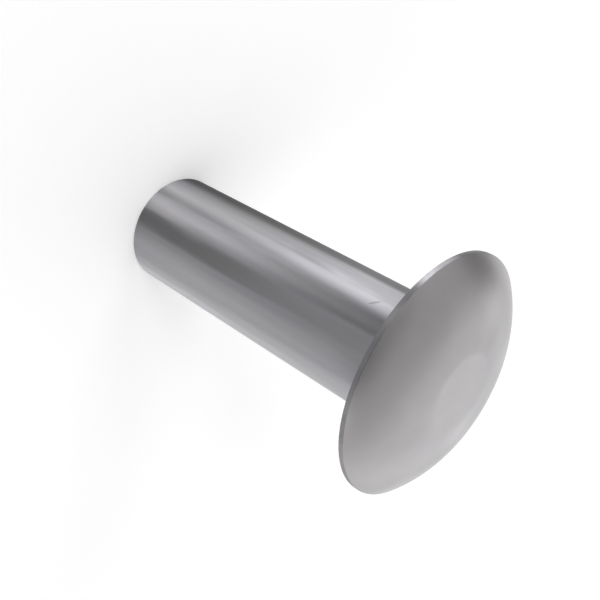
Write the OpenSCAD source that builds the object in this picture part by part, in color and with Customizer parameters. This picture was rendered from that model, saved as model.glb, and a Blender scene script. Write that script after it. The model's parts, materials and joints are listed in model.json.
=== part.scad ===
// Mushroom-head solid rivet: a plain round shank under a wide, low domed head, all one piece of metal.
// The axis is Z, with the head up. The origin is on the axis, level with the flat underside of the head,
// which is the face that seats on the riveted sheet. Sizes are in millimetres.

/* [Shank] */
// Diameter of the shank
shank_d = 4; // [3:0.1:6]
// Length of the shank, from the underside of the head to the tail end
shank_len = 12; // [6:0.5:30]
// Radius of the broken edge round the tail end
tail_edge_r = 0.05; // [0.02:0.01:0.3]
// Radius of the fillet that joins the shank to the underside of the head
neck_r = 0.2; // [0.05:0.05:0.4]

/* [Head] */
// Diameter of the head
head_d = 7.95; // [7:0.05:12]
// Height of the head, from its underside to the flat on its crown
head_h = 1.16; // [0.8:0.02:1.8]
// Height of the straight rim that runs round the head
rim_h = 0.16; // [0.12:0.02:0.5]
// Radius of the broken edges above and below the rim
rim_edge_r = 0.03; // [0.01:0.01:0.05]
// Diameter of the small flat in the middle of the crown
crown_d = 2.56; // [1:0.02:3.4]

/* [Hidden] */
// Facets of the quick preview: the true surfaces are round
$fn = 180;

shank_r = shank_d / 2;
head_r = head_d / 2;
crown_r = crown_d / 2;

// The dome is an arc that leaves the crown's flat level with it and comes down to the top of the rim.
// It sweeps out by dome_reach while it falls by dome_drop, and those two fix its radius.
dome_reach = head_r - crown_r;
dome_drop = head_h - rim_h;
dome_r = (pow(dome_reach, 2) + pow(dome_drop, 2)) / (2 * dome_drop);
dome_z = head_h - dome_r;

// The broken edge above the rim is an arc that touches both the dome and the rim.
brow_x = head_r - rim_edge_r;
brow_z = dome_z + sqrt(pow(dome_r - rim_edge_r, 2) - pow(brow_x - crown_r, 2));
brow_angle = atan2(brow_z - dome_z, brow_x - crown_r);

// Half of the lengthwise section through the shank, which is square to the axis at the tail.
module shank_section() {
  translate([0, -shank_len])
    square([shank_r, shank_len + rim_h]);
}

// Half of the section through the head before its edges are broken.
module head_section() {
  square([crown_r, head_h]);
  intersection() {
    translate([crown_r, dome_z])
      circle(dome_r);
    translate([crown_r, 0])
      square([dome_reach, head_h]);
  }
}

// What a broken edge of radius r takes off a square corner, which is at the origin
// with the metal to its left and above it.
module corner_waste(r) {
  difference() {
    translate([-r, -r])
      square(2 * r);
    translate([-r, r])
      circle(r);
  }
}

// What the broken edge above the rim takes off the corner where the dome meets the rim.
module brow_waste() {
  reach = 3 * rim_edge_r;
  translate([brow_x, brow_z])
    difference() {
      polygon([
        [0, 0],
        [reach, 0],
        [reach, reach],
        reach * [cos(brow_angle), sin(brow_angle)],
      ]);
      circle(rim_edge_r);
    }
}

// What the fillet adds in the corner between the shank and the underside of the head.
module neck_section() {
  difference() {
    translate([shank_r, -neck_r])
      square(neck_r);
    translate([shank_r + neck_r, -neck_r])
      circle(neck_r);
  }
}

module rivet() {
  color("#a3a3a6")
    rotate_extrude()
      difference() {
        union() {
          shank_section();
          head_section();
          neck_section();
        }
        translate([shank_r, -shank_len])
          corner_waste(tail_edge_r);
        translate([head_r, 0])
          corner_waste(rim_edge_r);
        brow_waste();
      }
}

rivet();
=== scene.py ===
"""The looks of a mushroom-head solid rivet that stands on its tail end, in satin steel."""

import json
import math

import bpy
from mathutils import Matrix, Quaternion, Vector


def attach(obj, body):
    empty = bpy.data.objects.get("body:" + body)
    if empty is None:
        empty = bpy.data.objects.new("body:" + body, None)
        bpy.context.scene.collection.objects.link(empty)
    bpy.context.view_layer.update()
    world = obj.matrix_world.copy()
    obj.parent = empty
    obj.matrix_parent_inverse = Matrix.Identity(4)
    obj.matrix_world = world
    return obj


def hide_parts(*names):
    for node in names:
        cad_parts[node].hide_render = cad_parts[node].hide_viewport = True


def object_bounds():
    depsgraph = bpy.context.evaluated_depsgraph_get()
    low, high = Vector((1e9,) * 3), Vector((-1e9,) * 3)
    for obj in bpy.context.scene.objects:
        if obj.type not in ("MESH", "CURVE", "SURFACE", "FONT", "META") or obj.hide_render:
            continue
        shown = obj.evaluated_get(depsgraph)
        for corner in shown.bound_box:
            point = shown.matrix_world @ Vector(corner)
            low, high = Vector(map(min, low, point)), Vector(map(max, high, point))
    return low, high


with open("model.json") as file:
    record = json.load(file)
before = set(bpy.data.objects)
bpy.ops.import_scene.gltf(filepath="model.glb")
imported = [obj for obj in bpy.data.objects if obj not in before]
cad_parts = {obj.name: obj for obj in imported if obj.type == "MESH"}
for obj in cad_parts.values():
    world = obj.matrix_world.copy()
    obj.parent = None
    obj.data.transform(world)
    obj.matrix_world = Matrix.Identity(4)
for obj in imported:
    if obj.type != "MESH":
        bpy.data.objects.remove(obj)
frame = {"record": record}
cad_low, cad_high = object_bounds()

MM = 0.001

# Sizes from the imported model
HEAD_R = cad_high.x
HEAD_TOP = cad_high.z
TAIL_Z = cad_low.z
SHANK_MOUNT = next(mount for mount in frame["record"]["mounts"] if mount["name"] == "shank")
SHANK_R = SHANK_MOUNT["dims"]["r_mm"] * MM

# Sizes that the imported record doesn't give, which repeat those of the part
RIM_H = 0.16 * MM
RIM_EDGE_R = 0.03 * MM
CROWN_R = 1.28 * MM
NECK_R = 0.2 * MM
TAIL_EDGE_R = 0.05 * MM

# How finely the turned surface is cut
TURN_STEPS = 192
DOME_STEPS = 40
EDGE_STEPS = 6
SHANK_STEPS = 24
FLAT_STEPS = 4

# The finishes, numbered in the order of the visible piece's materials
HEAD, SHANK, CUT_END, RIM = range(4)


def arc(centre, radius, start, end, steps):
    """Points and outward normals of an arc in the lengthwise section, from angle start to angle end."""
    out = []
    for step in range(steps + 1):
        angle = start + (end - start) * step / steps
        normal = (math.cos(angle), math.sin(angle))
        point = (centre[0] + radius * normal[0], centre[1] + radius * normal[1])
        out.append((point, normal))
    return out


def line(start, end, normal, steps):
    """Points and outward normals of a straight stretch of the section."""
    out = []
    for step in range(steps + 1):
        share = step / steps
        point = (start[0] + (end[0] - start[0]) * share, start[1] + (end[1] - start[1]) * share)
        out.append((point, normal))
    return out


def hollow(points):
    """An arc whose metal lies outside it, such as a fillet: its normals point to its centre."""
    return [(point, (-normal[0], -normal[1])) for point, normal in points]


def rivet_section():
    """The lengthwise section from the crown's middle to the tail's: each stretch's finish and its points."""
    quarter = math.pi / 2

    # The dome is one arc. It runs level into the flat, so its centre lies straight under the flat's edge.
    reach = HEAD_R - CROWN_R
    drop = HEAD_TOP - RIM_H
    dome_r = (reach**2 + drop**2) / (2 * drop)
    dome_z = HEAD_TOP - dome_r

    # The broken edge at the brow touches both the dome and the rim
    brow_x = HEAD_R - RIM_EDGE_R
    brow_z = dome_z + math.sqrt((dome_r - RIM_EDGE_R) ** 2 - (brow_x - CROWN_R) ** 2)
    brow_angle = math.atan2(brow_z - dome_z, brow_x - CROWN_R)

    neck = (SHANK_R + NECK_R, -NECK_R)
    tail = (SHANK_R - TAIL_EDGE_R, TAIL_Z + TAIL_EDGE_R)
    return [
        (HEAD, line((0, HEAD_TOP), (CROWN_R, HEAD_TOP), (0, 1), FLAT_STEPS)),
        (HEAD, arc((CROWN_R, dome_z), dome_r, quarter, brow_angle, DOME_STEPS)),
        (RIM, arc((brow_x, brow_z), RIM_EDGE_R, brow_angle, 0, EDGE_STEPS)),
        (RIM, line((HEAD_R, brow_z), (HEAD_R, RIM_EDGE_R), (1, 0), FLAT_STEPS)),
        (RIM, arc((brow_x, RIM_EDGE_R), RIM_EDGE_R, 0, -quarter, EDGE_STEPS)),
        (HEAD, line((brow_x, 0), (neck[0], 0), (0, -1), FLAT_STEPS)),
        (SHANK, hollow(arc(neck, NECK_R, quarter, 2 * quarter, EDGE_STEPS))),
        (SHANK, line((SHANK_R, -NECK_R), (SHANK_R, tail[1]), (1, 0), SHANK_STEPS)),
        (SHANK, arc(tail, TAIL_EDGE_R, 0, -quarter, EDGE_STEPS)),
        (CUT_END, line((tail[0], TAIL_Z), (0, TAIL_Z), (0, -1), FLAT_STEPS)),
    ]


def turned_mesh(name, section):
    """A closed mesh made by turning the section about Z, with its exact normals and each stretch's finish."""
    points = []
    finishes = []
    for finish, stretch in section:
        finishes += [finish] * (len(stretch) - 1)
        points += stretch if not points else stretch[1:]
    ring_points = points[1:-1]
    verts = [(0, 0, points[0][0][1])]
    normals = [(0, 0, 1)]
    for (radius, z), (normal_out, normal_up) in ring_points:
        for step in range(TURN_STEPS):
            angle = 2 * math.pi * step / TURN_STEPS
            verts.append((radius * math.cos(angle), radius * math.sin(angle), z))
            normals.append((normal_out * math.cos(angle), normal_out * math.sin(angle), normal_up))
    verts.append((0, 0, points[-1][0][1]))
    normals.append((0, 0, -1))

    def corner(ring, step):
        """The number of a vertex on a ring."""
        return 1 + ring * TURN_STEPS + step % TURN_STEPS

    faces = []
    last = len(ring_points) - 1
    for step in range(TURN_STEPS):
        after = step + 1
        faces.append((0, corner(0, step), corner(0, after)))
        for ring in range(last):
            below = ring + 1
            faces.append((corner(ring, step), corner(below, step), corner(below, after), corner(ring, after)))
        faces.append((corner(last, step), len(verts) - 1, corner(last, after)))
    mesh = bpy.data.meshes.new(name)
    mesh.from_pydata(verts, [], faces)
    mesh.polygons.foreach_set("material_index", finishes * TURN_STEPS)
    mesh.shade_smooth()
    mesh.normals_split_custom_set_from_vertices(normals)
    return mesh


def toward(azimuth, elevation):
    """A direction, from degrees. Azimuth 0 is the camera's side, and it grows towards +X."""
    across = math.radians(azimuth)
    up = math.radians(elevation)
    return Vector((math.cos(up) * math.sin(across), -math.cos(up) * math.cos(across), math.sin(up)))


# The number that noise varies round
NOISE_MIDDLE = 0.5

# Where a Mix node has its colour sockets, which share their names with others
MIX_FIRST = 6
MIX_SECOND = 7
MIX_RESULT = 2


class Nodes:
    """A node tree, with short calls that add nodes and join them."""

    def __init__(self, tree):
        self.tree = tree

    def set(self, socket, value):
        """Gives a socket a value of its own, or joins another node's output to it."""
        if isinstance(value, bpy.types.NodeSocket):
            self.tree.links.new(value, socket)
        else:
            socket.default_value = value

    def add(self, kind, inputs=None, **settings):
        """A new node with its settings and its named inputs."""
        node = self.tree.nodes.new("ShaderNode" + kind)
        for name, value in settings.items():
            setattr(node, name, value)
        for name, value in (inputs or {}).items():
            self.set(node.inputs[name], value)
        return node

    def step(self, kind, operation, values):
        """A new node that does one step of arithmetic, with its inputs in order."""
        node = self.add(kind, operation=operation)
        for socket, value in zip(node.inputs, values):
            self.set(socket, value)
        return node

    def calc(self, operation, *values):
        """One step of arithmetic with numbers."""
        return self.step("Math", operation, values).outputs["Value"]

    def vector(self, operation, *values):
        """One step of arithmetic with vectors that gives a vector."""
        return self.step("VectorMath", operation, values).outputs["Vector"]

    def measure(self, operation, *values):
        """One step of arithmetic with vectors that gives a number."""
        return self.step("VectorMath", operation, values).outputs["Value"]

    def scale(self, vector, factor):
        """A colour, or a vector, times a number."""
        node = self.add("VectorMath", {"Scale": factor}, operation="SCALE")
        self.set(node.inputs[0], vector)
        return node.outputs["Vector"]

    def span(self, value, low, high, out_low, out_high):
        """Carries value smoothly from low..high over to out_low..out_high, and holds it beyond them."""
        inputs = {"Value": value, "From Min": low, "From Max": high, "To Min": out_low, "To Max": out_high}
        return self.add("MapRange", inputs, interpolation_type="SMOOTHSTEP").outputs[0]

    def near(self, direction, azimuth, elevation, reach):
        """1 in one direction, falling smoothly to 0 at an angle of reach from it."""
        nearness = self.measure("DOT_PRODUCT", direction, toward(azimuth, elevation))
        return self.span(nearness, math.cos(math.radians(reach)), 1.0, 0.0, 1.0)

    def place(self):
        """Where on the rivet a point is."""
        return self.add("TexCoord").outputs["Object"]

    def from_axis(self):
        """The direction from the rivet's axis to a point, level, and how far out the point is."""
        level = self.vector("MULTIPLY", self.place(), (1, 1, 0))
        return self.vector("NORMALIZE", level), self.measure("LENGTH", level)

    def noise(self, size, length=None, detail=2.0, shift=0.0):
        """Noise with lumps of one size, or of another length along the rivet's axis."""
        scale = (1 / size, 1 / size, 1 / (length or size))
        inputs = {"Vector": self.place(), "Scale": scale, "Location": (shift, shift, shift)}
        scaled = self.add("Mapping", inputs).outputs[0]
        return self.add("TexNoise", {"Vector": scaled, "Scale": 1.0, "Detail": detail}).outputs[0]

    def vary(self, noise, low, high, swing=0.2):
        """Carries noise over to low..high, from a swing under its middle to a swing over it."""
        return self.span(noise, NOISE_MIDDLE - swing, NOISE_MIDDLE + swing, low, high)

    def blend(self, factor, first, second):
        """A colour between two others."""
        node = self.add("Mix", {"Factor": factor}, data_type="RGBA")
        self.set(node.inputs[MIX_FIRST], first)
        self.set(node.inputs[MIX_SECOND], second)
        return node.outputs[MIX_RESULT]

    def relief(self, height, depth, under=None):
        """Surface normals of a relief: height runs from 0 to 1, and 1 stands out by depth."""
        inputs = {"Height": height, "Distance": depth}
        if under is not None:
            inputs["Normal"] = under
        return self.add("Bump", inputs).outputs[0]


def new_metal(name):
    """A bare metal's material, its node helper and its shader."""
    material = bpy.data.materials.new(name)
    material.use_nodes = True
    shader = material.node_tree.nodes["Principled BSDF"]
    shader.inputs["Metallic"].default_value = 1.0
    return material, Nodes(material.node_tree), shader


def brush_lengthwise(nodes, shader):
    """Makes the gloss of a surface round the axis spread up and down it."""
    shader.inputs["Anisotropic"].default_value = 1.0
    shader.inputs["Anisotropic Rotation"].default_value = 0.25
    tangent = nodes.add("Tangent", direction_type="RADIAL", axis="Z")
    nodes.set(shader.inputs["Tangent"], tangent.outputs[0])


# The head's two colours. Its warmth is 0 for the cool one and 1 for the warm one: it grows between two
# distances from the axis, and drifts a little from place to place.
HEAD_COOL = (0.353, 0.344, 0.356, 1)
HEAD_WARM = (0.359, 0.346, 0.349, 1)
WARMER_FROM = 1.5 * MM
WARMER_TO = 3.3 * MM
WARMTH_INSIDE = 0.3
WARMTH_OUTSIDE = 0.8
WARMTH_DRIFT = 0.3
HEAD_ROUGHNESS = (0.278, 0.292)

# Faint lighter and darker patches on the head, painted highlight and painted shade that stand in for its
# reflections. Each has an azimuth in degrees, then in millimetres how far from the axis it is and how wide it
# reaches, and last how much lighter or darker it is than the rest.
PAINTED_PATCHES = [
    (-75, 3.0, 1.1, 0.18),
    (-137, 2.4, 0.9, 0.17),
    (-108, 3.7, 0.8, -0.12),
    (-90, 1.9, 0.7, -0.06),
    (20, 1.8, 0.8, -0.04),
    (58, 2.2, 1.0, -0.07),
    (105, 3.5, 1.0, 0.18),
    (140, 1.9, 1.2, 0.13),
]

# How dark and how light the soft clouds between the patches are
CLOUD_TONES = (0.98, 1.03)

# A faint ring of painted shade round the flat, which sets off the flat's lighter reflection: how far inside
# the flat's edge it starts, how far outside the edge its crest and its end are, how dark it is, and the side
# where it is darker still
RING_START = 0.12 * MM
RING_CREST = 0.1 * MM
RING_END = 1.1 * MM
RING_PAINTED_SHADE = 0.04
RING_LEAN = 0.09
RING_SHADED_AZIMUTH = -40


def clouds_and_painted_patches(nodes):
    """How light the random clouds and the painted highlight and shade patches leave each place on the head: 1
    is plain.
    """
    tone = nodes.vary(nodes.noise(size=1.2 * MM), *CLOUD_TONES)
    for azimuth, far, wide, amount in PAINTED_PATCHES:
        centre = toward(azimuth, 0) * far * MM + Vector((0, 0, HEAD_TOP))
        away = nodes.measure("DISTANCE", nodes.place(), centre)
        lift = nodes.span(away, 0.0, wide * MM, amount, 0.0)
        tone = nodes.calc("MULTIPLY", tone, nodes.calc("ADD", lift, 1.0))
    return tone


def painted_ring_shade(nodes):
    """How light the ring's painted shade leaves each place on the head: 1 is plain."""
    across, radius = nodes.from_axis()
    rise = nodes.span(radius, CROWN_R - RING_START, CROWN_R + RING_CREST, 0.0, 1.0)
    fall = nodes.span(radius, CROWN_R + RING_CREST, CROWN_R + RING_END, 1.0, 0.0)
    side = nodes.measure("DOT_PRODUCT", across, toward(RING_SHADED_AZIMUTH, 0))
    depth = nodes.calc("MULTIPLY_ADD", side, -RING_LEAN, -RING_PAINTED_SHADE)
    return nodes.calc("MULTIPLY_ADD", nodes.calc("MULTIPLY", rise, fall), depth, 1.0)


def headed_steel():
    """The head: pressed in a die and tumbled to an even satin, with painted highlight and shade in its
    colour.
    """
    material, nodes, shader = new_metal("headed_steel")
    radius = nodes.from_axis()[1]
    drift = nodes.noise(size=3 * MM, detail=1.0, shift=5.0)
    drift = nodes.vary(drift, -WARMTH_DRIFT, WARMTH_DRIFT)
    outward = nodes.span(radius, WARMER_FROM, WARMER_TO, WARMTH_INSIDE, WARMTH_OUTSIDE)
    colour = nodes.blend(nodes.calc("ADD", drift, outward), HEAD_COOL, HEAD_WARM)
    # The painted highlight and shade of the patches and of the ring go into the head's colour here
    tone = nodes.calc("MULTIPLY", clouds_and_painted_patches(nodes), painted_ring_shade(nodes))
    nodes.set(shader.inputs["Base Color"], nodes.scale(colour, tone))
    grain = nodes.noise(size=0.16 * MM, detail=1.0)
    nodes.set(shader.inputs["Roughness"], nodes.vary(grain, *HEAD_ROUGHNESS, swing=0.4))
    return material


# The shank's two colours, which lie in long narrow stretches, the faint tones of its fine lines, and the
# depths of its broad waves and of its finest scratches
SHANK_PLAIN = (0.354, 0.347, 0.356, 1)
SHANK_BLUISH = (0.347, 0.343, 0.366, 1)
SHANK_TONES = (0.98, 1.02)
SHANK_ROUGHNESS = (0.43, 0.46)
WAVE_DEPTH = 0.006 * MM
SCRATCH_DEPTH = 0.0003 * MM

# Light and dark bands painted along the shank, painted reflections of the lamps and of floor shadows that it
# mirrors. Each has an azimuth and a half-width in degrees, and how much lighter or darker than the rest it is
# at the tail and at the neck.
PAINTED_BANDS = [
    (-76, 26, -0.78, -0.44),
    (-61, 8, 0.00, 0.20),
    (-49, 12, 0.00, 0.80),
    (-30, 12, 0.12, 0.58),
    (-14, 13, 0.44, -0.40),
    (6, 11, -0.38, -0.06),
    (28, 12, 0.00, -0.10),
    (74, 16, 0.28, 0.28),
    (104, 16, -0.20, 0.10),
    (141, 14, 0.25, -0.15),
    (178, 18, -0.30, -0.05),
    (-152, 12, 0.20, 0.20),
    (-118, 16, -0.15, -0.30),
]

# A painted band changes from its tail's tone to its neck's between these heights
BAND_TAIL_Z = TAIL_Z + 2 * MM
BAND_NECK_Z = -2 * MM

# How much the tone wanders at random, and how far the painted bands wander sideways
WANDER_TONE = 0.16
WANDER_SIDEWAYS = 0.03

# One small slanting nick near the neck, with no dent: it is painted shade in the shank's colour. Its size is
# half its length, half its width, and how far in and out from the surface it reaches. Within the core's share
# of that it is at its darkest.
NICK_AZIMUTH = -31
NICK_Z = -1.84 * MM
NICK_SLANT = math.radians(43)
NICK_SIZE = (0.26 * MM, 0.055 * MM, 0.5 * MM)
NICK_CORE = 0.3
NICK_PAINTED_SHADE = 0.35


def painted_band_tone(nodes):
    """How light the painted reflection bands leave each place on the shank: 1 is plain."""
    across = nodes.from_axis()[0]
    along = nodes.add("SeparateXYZ", {"Vector": nodes.place()}).outputs["Z"]
    wander = nodes.noise(size=0.7 * MM, length=4 * MM, shift=11.0)
    wander = nodes.calc("SUBTRACT", wander, NOISE_MIDDLE)
    tone = nodes.calc("MULTIPLY_ADD", wander, WANDER_TONE, 1.0)
    for azimuth, half_width, at_tail, at_neck in PAINTED_BANDS:
        nearness = nodes.measure("DOT_PRODUCT", across, toward(azimuth, 0))
        nearness = nodes.calc("MULTIPLY_ADD", wander, WANDER_SIDEWAYS, nearness)
        inside = nodes.span(nearness, math.cos(math.radians(half_width)), 1.0, 0.0, 1.0)
        amount = nodes.span(along, BAND_TAIL_Z, BAND_NECK_Z, at_tail, at_neck)
        tone = nodes.calc("MULTIPLY", tone, nodes.calc("MULTIPLY_ADD", inside, amount, 1.0))
    return tone


def painted_nick_shade(nodes):
    """How light the nick's painted shade leaves each place on the shank: 1 is plain."""
    out = toward(NICK_AZIMUTH, 0)
    level = toward(NICK_AZIMUTH - 90, 0)
    along = level * math.cos(NICK_SLANT) + Vector((0, 0, 1)) * math.sin(NICK_SLANT)
    turn = Matrix((along, out.cross(along), out)).transposed().to_euler()
    centre = out * SHANK_R + Vector((0, 0, NICK_Z))
    inputs = {"Vector": nodes.place(), "Location": centre, "Rotation": turn, "Scale": NICK_SIZE}
    local = nodes.add("Mapping", inputs, vector_type="TEXTURE")
    away = nodes.measure("LENGTH", local.outputs[0])
    inside = nodes.span(away, NICK_CORE, 1.0, 1.0, 0.0)
    return nodes.calc("MULTIPLY_ADD", inside, -NICK_PAINTED_SHADE, 1.0)


def drawn_steel():
    """The shank: wire drawn through a die, with light and dark bands painted along it as its reflections."""
    material, nodes, shader = new_metal("drawn_steel")
    brush_lengthwise(nodes, shader)
    drift = nodes.noise(size=0.5 * MM, length=6 * MM, detail=1.0, shift=21.0)
    colour = nodes.blend(nodes.vary(drift, 0.0, 1.0, swing=0.15), SHANK_PLAIN, SHANK_BLUISH)
    fine = nodes.noise(size=0.12 * MM, length=5 * MM, detail=3.0)
    # The painted reflection bands go into the shank's colour here
    tone = nodes.calc("MULTIPLY", painted_band_tone(nodes), nodes.vary(fine, *SHANK_TONES))
    # The nick's painted shade goes into the shank's colour here
    tone = nodes.calc("MULTIPLY", tone, painted_nick_shade(nodes))
    nodes.set(shader.inputs["Base Color"], nodes.scale(colour, tone))
    scratch = nodes.noise(size=0.03 * MM, length=2.5 * MM, shift=7.0)
    nodes.set(shader.inputs["Roughness"], nodes.vary(scratch, *SHANK_ROUGHNESS, swing=0.25))
    wave = nodes.noise(size=0.9 * MM, length=14 * MM, detail=1.0, shift=3.0)
    waves = nodes.relief(wave, WAVE_DEPTH)
    nodes.set(shader.inputs["Normal"], nodes.relief(scratch, SCRATCH_DEPTH, under=waves))
    return material


# The rim's colour is darker than the other steel, as painted shade, but for one painted glint, which fades
# out this many degrees to each side of its middle and is lighter than the rest there by this share
RIM_SHADED_COLOUR = (0.245, 0.241, 0.252)
RIM_TONES = (0.92, 1.08)
RIM_ROUGHNESS = (0.42, 0.47)
GLINT_AZIMUTH = -41
GLINT_REACH = 15
GLINT_LIFT = 1.5


def rim_steel():
    """The rim: dulled by handling, its colour darkened as painted shade and lit by a painted glint in one
    place, with the shank's lengthwise gloss.
    """
    material, nodes, shader = new_metal("rim_steel")
    brush_lengthwise(nodes, shader)
    grain = nodes.noise(size=0.3 * MM, shift=2.0)
    # The painted glint lightens the rim's colour here
    painted_glint = nodes.near(nodes.from_axis()[0], GLINT_AZIMUTH, 0, GLINT_REACH)
    tone = nodes.calc("MULTIPLY_ADD", painted_glint, GLINT_LIFT, 1.0)
    tone = nodes.calc("MULTIPLY", tone, nodes.vary(grain, *RIM_TONES))
    nodes.set(shader.inputs["Base Color"], nodes.scale(RIM_SHADED_COLOUR, tone))
    nodes.set(shader.inputs["Roughness"], nodes.vary(grain, *RIM_ROUGHNESS, swing=0.25))
    return material


# The cut end's metal, from its darkest grains to its lightest
CUT_DARK = (0.27, 0.268, 0.27, 1)
CUT_LIGHT = (0.34, 0.338, 0.34, 1)
CUT_ROUGHNESS = (0.38, 0.5)
CUT_DEPTH = 0.002 * MM


def cut_steel():
    """The tail's end: cut off square and left duller than the rest."""
    material, nodes, shader = new_metal("cut_steel")
    grain = nodes.noise(size=0.09 * MM, detail=3.0)
    nodes.set(shader.inputs["Base Color"], nodes.blend(grain, CUT_DARK, CUT_LIGHT))
    nodes.set(shader.inputs["Roughness"], nodes.vary(grain, *CUT_ROUGHNESS, swing=0.25))
    nodes.set(shader.inputs["Normal"], nodes.relief(grain, CUT_DEPTH))
    return material


def add_object(name, data):
    """A new object in the scene that shows a mesh, a camera or a lamp."""
    thing = bpy.data.objects.new(name, data)
    bpy.context.scene.collection.objects.link(thing)
    return thing


def make_rivet():
    """The visible rivet, which has the same form as the solid and a finer mesh."""
    mesh = turned_mesh("rivet_body", rivet_section())
    for material in (headed_steel(), drawn_steel(), cut_steel(), rim_steel()):
        mesh.materials.append(material)
    rivet = add_object("rivet_body", mesh)
    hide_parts("rivet")
    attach(rivet, "root")


# The floor is a square. It glows a little where it is seen, straight on or in the metal, so that it looks
# plain white.
FLOOR_HALF = 0.5
FLOOR_COLOUR = (0.9, 0.9, 0.9, 1)
FLOOR_GLOW = 0.22


def seen_rays(nodes):
    """1 for what the camera sees, whether straight on or in metal and glass, and 0 for light that spreads."""
    path = nodes.add("LightPath")
    seen = nodes.calc("MAXIMUM", path.outputs["Is Camera Ray"], path.outputs["Is Glossy Ray"])
    return nodes.calc("MAXIMUM", seen, path.outputs["Is Transmission Ray"])


def floor_white():
    """The floor's matt white."""
    material = bpy.data.materials.new("floor")
    material.use_nodes = True
    nodes = Nodes(material.node_tree)
    shader = material.node_tree.nodes["Principled BSDF"]
    shader.inputs["Base Color"].default_value = FLOOR_COLOUR
    shader.inputs["Roughness"].default_value = 1.0
    shader.inputs["Specular IOR Level"].default_value = 0.0
    shader.inputs["Emission Color"].default_value = (1, 1, 1, 1)
    nodes.set(shader.inputs["Emission Strength"], nodes.calc("MULTIPLY", seen_rays(nodes), FLOOR_GLOW))
    return material


def make_floor():
    """A plain white floor, level with the rivet's tail."""
    corners = [(-1, -1), (1, -1), (1, 1), (-1, 1)]
    mesh = bpy.data.meshes.new("floor")
    mesh.from_pydata([(x * FLOOR_HALF, y * FLOOR_HALF, TAIL_Z) for x, y in corners], [], [(0, 1, 2, 3)])
    mesh.materials.append(floor_white())
    add_object("floor", mesh)


# The photograph's view: along a cube's diagonal, turned about the line of sight, aimed at the rivet's middle
VIEW_ELEVATION = math.atan(1 / math.sqrt(2))
VIEW_ROLL = math.radians(120)
VIEW_DISTANCE = 28.21 * MM
SENSOR_WIDTH = 36.0
LENS = 50.78
NEAREST_SEEN = VIEW_DISTANCE / 100
FARTHEST_SEEN = 2.0


def make_camera():
    """The camera, at the photograph's view."""
    data = bpy.data.cameras.new("camera")
    data.sensor_width = SENSOR_WIDTH
    data.lens = LENS
    data.clip_start = NEAREST_SEEN
    data.clip_end = FARTHEST_SEEN
    camera = add_object("camera", data)
    back = Vector((0, -math.cos(VIEW_ELEVATION), math.sin(VIEW_ELEVATION)))
    aim = Vector((0, 0, (HEAD_TOP + TAIL_Z) / 2))
    camera.location = aim + back * VIEW_DISTANCE
    camera.rotation_mode = "QUATERNION"
    camera.rotation_quaternion = back.to_track_quat("Z", "Y") @ Quaternion((0, 0, 1), VIEW_ROLL)
    bpy.context.scene.camera = camera


# The room that the metal mirrors: how bright it is at the sides and behind the rivet, how fast it darkens
# towards the camera's side and the least that it falls to
ROOM_BRIGHTNESS = 0.72
ROOM_FALL = 1.2
ROOM_LEAST = 0.2

# How much brightness the room's light part adds, and the share that its dark part takes away
LIGHT_PART = 0.6
DARK_PART = 0.6

# The white backdrop is whole below the first of these elevations and ends at the second
BACKDROP_WHOLE = 7
BACKDROP_END = 12


def room_strength(nodes, direction, y):
    """How bright the room is in a direction, whose y is below 0 on the camera's side."""
    room = nodes.calc("MULTIPLY_ADD", nodes.calc("MINIMUM", y, 0.0), ROOM_FALL, ROOM_BRIGHTNESS)
    room = nodes.calc("MAXIMUM", room, ROOM_LEAST)
    light = nodes.near(direction, azimuth=165, elevation=5, reach=75)
    room = nodes.calc("MULTIPLY_ADD", light, LIGHT_PART, room)
    dark = nodes.near(direction, azimuth=-130, elevation=14, reach=27)
    return nodes.calc("MULTIPLY", room, nodes.calc("MULTIPLY_ADD", dark, -DARK_PART, 1.0))


def make_world():
    """A white backdrop round the horizon, and over it a grey room that is darker behind the camera."""
    world = bpy.data.worlds.new("studio")
    world.use_nodes = True
    nodes = Nodes(world.node_tree)
    direction = nodes.add("TexCoord").outputs["Generated"]
    parts = nodes.add("SeparateXYZ", {"Vector": direction}).outputs
    whole = math.sin(math.radians(BACKDROP_WHOLE))
    end = math.sin(math.radians(BACKDROP_END))
    above = nodes.span(parts["Z"], whole, end, 0.0, 1.0)
    room = room_strength(nodes, direction, parts["Y"])
    strength = nodes.calc("MULTIPLY_ADD", room, above, nodes.calc("SUBTRACT", 1.0, above))
    background = world.node_tree.nodes["Background"]
    background.inputs["Color"].default_value = (1, 1, 1, 1)
    nodes.set(background.inputs["Strength"], strength)
    bpy.context.scene.world = world


# How far from the rivet the lamps stand
LAMP_DISTANCE = 3.0


def softbox(name, azimuth, elevation, wide, high, brightness):
    """A soft box that faces the rivet. Its width and height are the angles that it fills, in degrees.

    A mirror shows a brightness of 1 as just white.
    """
    lamp = bpy.data.lights.new(name, "AREA")
    lamp.shape = "RECTANGLE"
    lamp.size = 2 * LAMP_DISTANCE * math.tan(math.radians(wide / 2))
    lamp.size_y = 2 * LAMP_DISTANCE * math.tan(math.radians(high / 2))
    lamp.energy = brightness * math.pi * lamp.size * lamp.size_y
    box = add_object(name, lamp)
    box.location = toward(azimuth, elevation) * LAMP_DISTANCE
    box.rotation_mode = "QUATERNION"
    box.rotation_quaternion = toward(azimuth, elevation).to_track_quat("Z", "Y")
    box.visible_camera = False


def make_lamps():
    """Four dim soft boxes, which the metal shows as its light bands."""
    softbox("left_box", azimuth=-68, elevation=22, wide=24, high=44, brightness=2.2)
    softbox("right_box", azimuth=100, elevation=11, wide=30, high=22, brightness=2.0)
    softbox("fill_box", azimuth=65, elevation=33, wide=34, high=30, brightness=1.9)
    softbox("top_box", azimuth=-30, elevation=38, wide=18, high=40, brightness=2.2)


make_rivet()
make_floor()
make_camera()
make_world()
make_lamps()
bpy.context.scene.view_settings.view_transform = "Standard"
